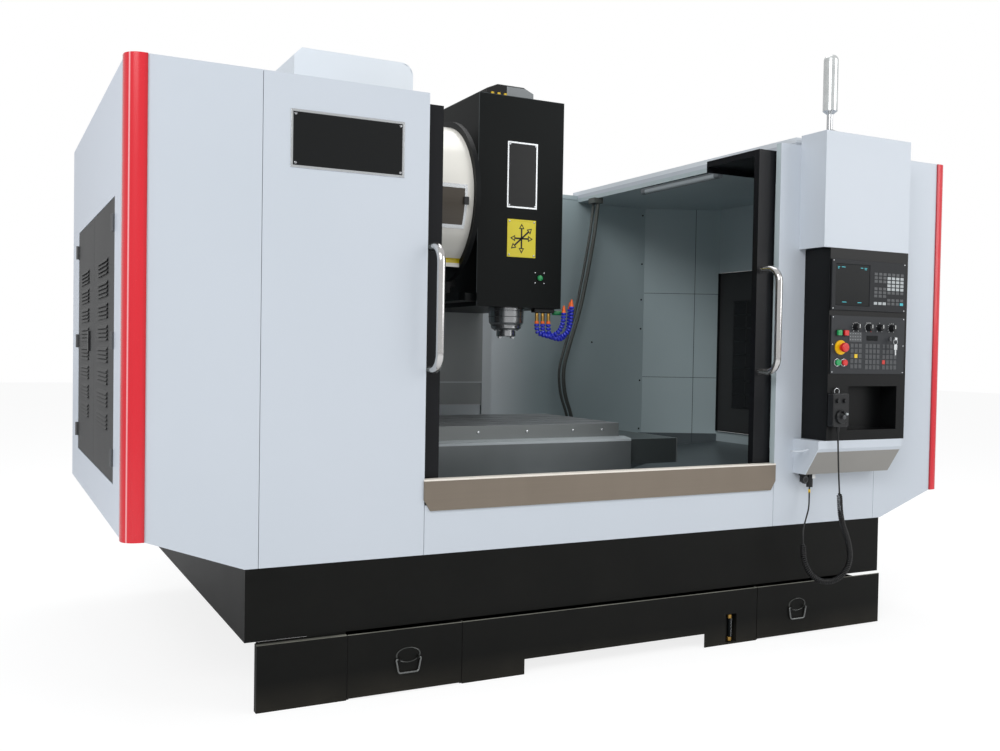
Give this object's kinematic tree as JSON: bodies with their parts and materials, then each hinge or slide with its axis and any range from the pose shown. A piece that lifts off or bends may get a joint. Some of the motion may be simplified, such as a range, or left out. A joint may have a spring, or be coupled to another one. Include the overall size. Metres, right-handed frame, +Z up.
{
  "type": "machining centre",
  "caption": "Enclosed vertical CNC machining centre with sliding doors, operator console, tool magazine, moving head, table, chip drawers and louvred side doors.",
  "frame": {"origin": "on the floor at the centre of the levelling feet, which is also the middle of the machine's length and depth", "axes": "+X to the operator's right along the machine's length, +Y away from the operator, +Z up"},
  "size_m": [3.7246, 3.0943, 2.53],
  "materials": {
    "white_panel": "powder coated, light blue grey white",
    "red_strip": "glossy red",
    "black_sheet": "black, fine texture",
    "dark_grey_sheet": "dark grey, fine texture",
    "casting": "painted and machined cast iron",
    "table_steel": "machined cast iron",
    "stainless": "brushed stainless sheet",
    "guard_sheet": "grey blue sheet",
    "head_black": "black, fine texture",
    "fan_grey": "grey",
    "polished_steel": "ground steel",
    "hose_mix": "blue and orange segments",
    "magazine_white": "cream white gloss",
    "magazine_black": "black",
    "pot_plastic": "black",
    "glass_pane": "clear safety glass",
    "chrome_wire": "polished",
    "lamp_plastic": "white and coloured lenses",
    "work_lamp": "white diffuser",
    "black_rubber": "black sleeve",
    "black_plastic": "black",
    "green_cap": "green",
    "red_cap": "red",
    "key_metal": "bright metal"
  },
  "bodies": {
    "machine": {"base_box": "black_sheet", "bed": "casting", "column": "casting", "conduits": "black_rubber", "console_box": "black_sheet", "console_housing": "white_panel", "coolant_tank": "black_sheet", "cord_coil": "black_rubber", "cord_fittings": "black_plastic", "corner_strips": "red_strip", "electrical_cabinet": "white_panel", "enclosure_panels": "white_panel", "inner_guards": "guard_sheet", "magazine_cover": "magazine_white", "magazine_plate": "magazine_black", "pendant": "black_plastic", "pendant_cord": "black_rubber", "side_panel_left": "white_panel", "side_panel_right": "white_panel", "signal_lamp": "lamp_plastic", "sill": "stainless", "work_lamp": "work_lamp"},
    "door_left": {"door_left": "black_sheet", "door_glass_left": "glass_pane"},
    "door_right": {"door_right": "black_sheet", "door_glass_right": "glass_pane"},
    "side_door_left_front": {"side_door_left_front": "dark_grey_sheet"},
    "side_door_left_rear": {"side_door_left_rear": "dark_grey_sheet"},
    "side_door_right_front": {"side_door_right_front": "dark_grey_sheet"},
    "side_door_right_rear": {"side_door_right_rear": "dark_grey_sheet"},
    "side_latch_left": {"side_latch_left": "black_plastic"},
    "side_latch_right": {"side_latch_right": "black_plastic"},
    "chip_drawer_left": {"chip_drawer_left": "black_sheet"},
    "chip_drawer_right": {"chip_drawer_right": "black_sheet"},
    "drawer_bail_left": {"drawer_bail_left": "chrome_wire"},
    "drawer_bail_right": {"drawer_bail_right": "chrome_wire"},
    "saddle": {"saddle": "casting"},
    "table": {"table": "table_steel", "table_covers": "stainless"},
    "head": {"head_casting": "casting", "head_cover": "head_black", "spindle_sleeve": "polished_steel", "fan_cowl": "fan_grey", "coolant_hoses": "hose_mix", "z_cover_upper": "guard_sheet"},
    "z_cover_middle": {"z_cover_middle": "guard_sheet"},
    "spindle": {"spindle": "polished_steel"},
    "magazine_disc": {"magazine_disc": "pot_plastic"},
    "cabinet_door": {"cabinet_door": "white_panel"},
    "mode_knob": {"mode_knob": "black_plastic"},
    "feed_knob": {"feed_knob": "black_plastic"},
    "rapid_knob": {"rapid_knob": "black_plastic"},
    "spindle_knob": {"spindle_knob": "black_plastic"},
    "key_switch": {"key_switch": "key_metal"},
    "emergency_stop": {"emergency_stop": "red_cap"},
    "power_on_button": {"power_on_button": "green_cap"},
    "power_off_button": {"power_off_button": "red_cap"},
    "cycle_start_button": {"cycle_start_button": "green_cap"},
    "feed_hold_button": {"feed_hold_button": "red_cap"},
    "pendant_wheel": {"pendant_wheel": "black_plastic"}
  },
  "joints": [
    {"name": "door_left_slide", "type": "slide", "parent": "machine", "child": "door_left", "axis": [1, 0, 0], "range_m": [0, 0.751]},
    {"name": "door_right_slide", "type": "slide", "parent": "machine", "child": "door_right", "axis": [-1, 0, 0], "range_m": [0, 0.734]},
    {"name": "side_door_left_front_hinge", "type": "hinge", "parent": "machine", "child": "side_door_left_front", "pos_m": [-1.8563, -1.041, 1.242], "axis": [0, 0, 1], "range_deg": [0, 110]},
    {"name": "side_door_left_rear_hinge", "type": "hinge", "parent": "machine", "child": "side_door_left_rear", "pos_m": [-1.8563, 0.299, 1.242], "axis": [0, 0, -1], "range_deg": [0, 110]},
    {"name": "side_door_right_front_hinge", "type": "hinge", "parent": "machine", "child": "side_door_right_front", "pos_m": [1.8563, -1.041, 1.242], "axis": [0, 0, -1], "range_deg": [0, 110]},
    {"name": "side_door_right_rear_hinge", "type": "hinge", "parent": "machine", "child": "side_door_right_rear", "pos_m": [1.8563, 0.299, 1.242], "axis": [0, 0, 1], "range_deg": [0, 110]},
    {"name": "side_latch_left_turn", "type": "hinge", "parent": "side_door_left_rear", "child": "side_latch_left", "pos_m": [-1.849, -0.22, 1.242], "axis": [-1, 0, 0], "range_deg": [0, 90]},
    {"name": "side_latch_right_turn", "type": "hinge", "parent": "side_door_right_rear", "child": "side_latch_right", "pos_m": [1.849, -0.22, 1.242], "axis": [1, 0, 0], "range_deg": [0, 90]},
    {"name": "chip_drawer_left_slide", "type": "slide", "parent": "machine", "child": "chip_drawer_left", "axis": [0, -1, 0], "range_m": [0, 0.35]},
    {"name": "chip_drawer_right_slide", "type": "slide", "parent": "machine", "child": "chip_drawer_right", "axis": [0, -1, 0], "range_m": [0, 0.35]},
    {"name": "drawer_bail_left_swing", "type": "hinge", "parent": "chip_drawer_left", "child": "drawer_bail_left", "pos_m": [-0.882, -1.3585, 0.122], "axis": [-1, 0, 0], "range_deg": [0, 90]},
    {"name": "drawer_bail_right_swing", "type": "hinge", "parent": "chip_drawer_right", "child": "drawer_bail_right", "pos_m": [0.96, -1.3585, 0.122], "axis": [-1, 0, 0], "range_deg": [0, 90]},
    {"name": "saddle_y", "type": "slide", "parent": "machine", "child": "saddle", "axis": [0, 1, 0], "range_m": [-0.35, 0.35]},
    {"name": "table_x", "type": "slide", "parent": "saddle", "child": "table", "axis": [1, 0, 0], "range_m": [-0.29, 0.84]},
    {"name": "head_z", "type": "slide", "parent": "machine", "child": "head", "axis": [0, 0, 1], "range_m": [-0.248, 0.452]},
    {"name": "z_cover_middle_slide", "type": "slide", "parent": "machine", "child": "z_cover_middle", "axis": [0, 0, 1], "range_m": [-0.124, 0.226]},
    {"name": "spindle_spin", "type": "hinge", "parent": "head", "child": "spindle", "pos_m": [0, -0.373, 1.3], "axis": [0, 0, 1], "continuous": true},
    {"name": "magazine_turn", "type": "hinge", "parent": "machine", "child": "magazine_disc", "pos_m": [-0.451, -0.373, 1.909], "axis": [1, 0, 0], "continuous": true},
    {"name": "cabinet_door_hinge", "type": "hinge", "parent": "machine", "child": "cabinet_door", "pos_m": [-0.7, 1.545, 1.25], "axis": [0, 0, 1], "range_deg": [0, 110]},
    {"name": "mode_knob_turn", "type": "hinge", "parent": "machine", "child": "mode_knob", "pos_m": [1.124, -1.496, 1.357], "axis": [0, 1, 0], "range_deg": [-120, 120]},
    {"name": "feed_knob_turn", "type": "hinge", "parent": "machine", "child": "feed_knob", "pos_m": [1.2, -1.496, 1.357], "axis": [0, 1, 0], "range_deg": [-150, 150]},
    {"name": "rapid_knob_turn", "type": "hinge", "parent": "machine", "child": "rapid_knob", "pos_m": [1.266, -1.496, 1.357], "axis": [0, 1, 0], "range_deg": [-150, 150]},
    {"name": "spindle_knob_turn", "type": "hinge", "parent": "machine", "child": "spindle_knob", "pos_m": [1.339, -1.496, 1.357], "axis": [0, 1, 0], "range_deg": [-150, 150]},
    {"name": "key_switch_turn", "type": "hinge", "parent": "machine", "child": "key_switch", "pos_m": [1.334, -1.496, 1.31], "axis": [0, 1, 0], "range_deg": [0, 90]},
    {"name": "emergency_stop_press", "type": "slide", "parent": "machine", "child": "emergency_stop", "axis": [0, 1, 0], "range_m": [0, 0.004]},
    {"name": "power_on_button_press", "type": "slide", "parent": "machine", "child": "power_on_button", "axis": [0, 1, 0], "range_m": [0, 0.004], "stiffness_N_per_m": 400},
    {"name": "power_off_button_press", "type": "slide", "parent": "machine", "child": "power_off_button", "axis": [0, 1, 0], "range_m": [0, 0.004], "stiffness_N_per_m": 400},
    {"name": "cycle_start_button_press", "type": "slide", "parent": "machine", "child": "cycle_start_button", "axis": [0, 1, 0], "range_m": [0, 0.004], "stiffness_N_per_m": 400},
    {"name": "feed_hold_button_press", "type": "slide", "parent": "machine", "child": "feed_hold_button", "axis": [0, 1, 0], "range_m": [0, 0.004], "stiffness_N_per_m": 400},
    {"name": "pendant_wheel_turn", "type": "hinge", "parent": "machine", "child": "pendant_wheel", "pos_m": [1.018, -1.528, 0.972], "axis": [0, 1, 0], "continuous": true}
  ],
  "couplings": [
    {"joint": "z_cover_middle_slide", "follows": "head_z", "ratio": 0.5}
  ]
}
